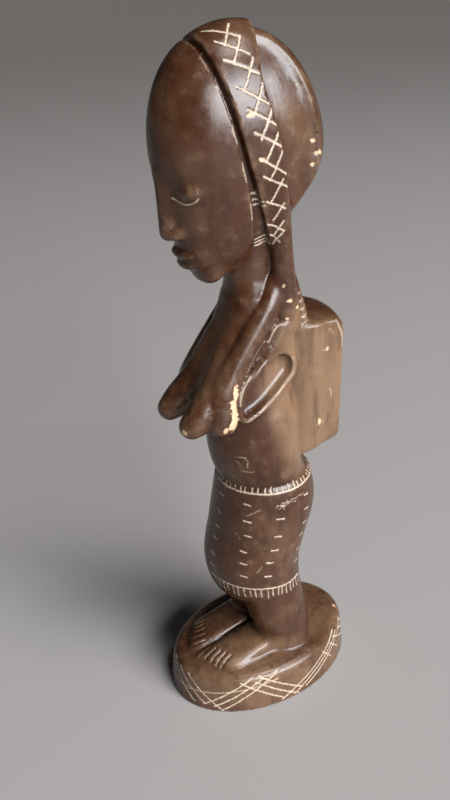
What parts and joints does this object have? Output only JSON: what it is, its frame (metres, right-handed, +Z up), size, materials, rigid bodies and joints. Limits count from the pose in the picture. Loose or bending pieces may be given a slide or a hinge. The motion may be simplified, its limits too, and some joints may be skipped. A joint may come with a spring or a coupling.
{
  "type": "carved stone statuette",
  "caption": "Standing woman carved in one block with her oval base, bent a little under a back load that hangs from a carrying strap over her crown.",
  "frame": {"origin": "centre of the oval base's underside", "axes": "+Z up, the figure faces -Y, and +X is its left side"},
  "size_m": [0.0864, 0.1256, 0.3882],
  "materials": {
    "stone": "waxed dark brown stain, polished"
  },
  "bodies": {
    "root": {"statuette": "stone"}
  },
  "joints": []
}
